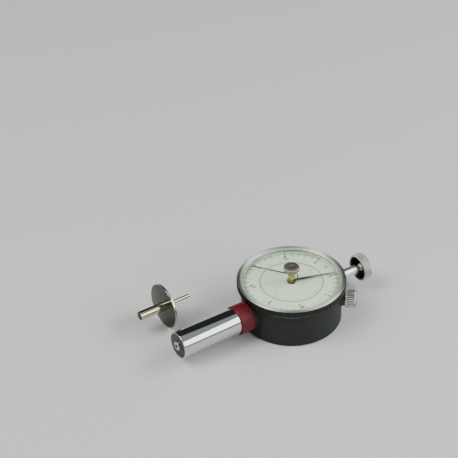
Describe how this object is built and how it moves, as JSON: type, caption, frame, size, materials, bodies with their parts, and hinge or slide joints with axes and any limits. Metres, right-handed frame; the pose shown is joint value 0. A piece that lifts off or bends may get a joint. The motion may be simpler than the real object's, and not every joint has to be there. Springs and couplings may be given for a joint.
{
  "type": "dial penetrometer",
  "caption": "Hand-held dial penetrometer for fruit firmness: round dial case, chrome barrel with sprung plunger, maximum hand with reset knob, lock screw and loose probe tip.",
  "frame": {"origin": "middle of the case back, on the dial axis", "axes": "+X along the barrel axis from the barrel to the cap, +Z out of the dial, +Y to the loose tip's side"},
  "size_m": [0.125, 0.0737, 0.0327],
  "materials": {
    "case_paint": "dark grey satin lacquer",
    "barrel_chrome": "mirror polished",
    "bezel_chrome": "polished, serrated side",
    "bright_nickel": "bright plated, knurled",
    "tip_nickel": "bright plated, slightly warm",
    "collar_red": "dark red gloss lacquer",
    "plain_steel": "machined",
    "spring_steel": "drawn",
    "screw_steel": "machined, slotted",
    "brass": "turned",
    "hand_black": "black satin lacquer",
    "dial_enamel": "off-white satin, printed",
    "crystal": "clear moulded window"
  },
  "bodies": {
    "case": {"case_shell": "case_paint", "back_cover": "case_paint", "back_screws": "screw_steel", "barrel": "barrel_chrome", "nose_bush": "bright_nickel", "rear_bush": "brass", "spring_seat": "plain_steel", "barrel_nut": "plain_steel", "collar": "collar_red", "main_spring": "spring_steel", "stem": "bright_nickel", "stem_nut": "plain_steel", "lock_bush": "bright_nickel", "clamp_dog": "plain_steel", "base_plate": "brass", "plate_screws": "screw_steel", "pillars": "brass", "bridge_plate": "brass", "bridge_screws": "screw_steel", "lower_bearing": "brass", "upper_bearing": "brass", "hairspring": "spring_steel", "hairspring_stud": "plain_steel", "bezel_ring": "spring_steel"},
    "plunger": {"plunger_rod": "plain_steel", "spring_collar": "plain_steel", "collar_clip": "spring_steel", "rack_frame": "plain_steel", "guide_pin": "plain_steel", "tail_rod": "plain_steel", "lift_cap": "bright_nickel"},
    "pointer": {"pinion_arbor": "plain_steel", "hairspring_collet": "brass", "pointer_boss": "brass", "main_pointer": "hand_black", "drive_pin": "brass"},
    "bezel": {"bezel": "bezel_chrome", "crystal": "crystal", "crystal_bush": "brass", "spacer_ring": "plain_steel", "dial_plate": "dial_enamel", "dial_carrier": "brass", "dial_screws": "screw_steel"},
    "reset": {"reset_knob": "bright_nickel", "reset_shaft": "plain_steel", "knob_screw": "screw_steel", "reset_hub": "brass", "drag_pointer": "hand_black"},
    "lock": {"lock_screw": "bright_nickel"},
    "tip": {"probe_tip": "tip_nickel", "tip_disc": "tip_nickel"}
  },
  "joints": [
    {"name": "plunger_slide", "type": "slide", "parent": "case", "child": "plunger", "axis": [1, 0, 0], "range_m": [0, 0.01], "stiffness_N_per_m": 3490, "springref_m": -0.0014, "deforming": ["main_spring"]},
    {"name": "pointer_turn", "type": "hinge", "parent": "case", "child": "pointer", "pos_m": [0, 0, 0], "axis": [0, 0, 1], "range_deg": [-330, 0], "deforming": ["hairspring"]},
    {"name": "bezel_turn", "type": "hinge", "parent": "case", "child": "bezel", "pos_m": [0, 0, 0], "axis": [0, 0, 1], "continuous": true},
    {"name": "reset_turn", "type": "hinge", "parent": "bezel", "child": "reset", "pos_m": [0, 0, 0], "axis": [0, 0, 1], "range_deg": [-115, 200]},
    {"name": "lock_turn", "type": "hinge", "parent": "case", "child": "lock", "pos_m": [0, 0, 0.01235], "axis": [0.788, -0.6157, 0], "range_deg": [0, 270]},
    {"name": "tip_lift", "type": "slide", "parent": "case", "child": "tip", "axis": [0, 0, 1], "range_m": [0, 0.06]}
  ],
  "couplings": [
    {"joint": "pointer_turn", "follows": "plunger_slide", "rad_per_m": -571.43}
  ]
}
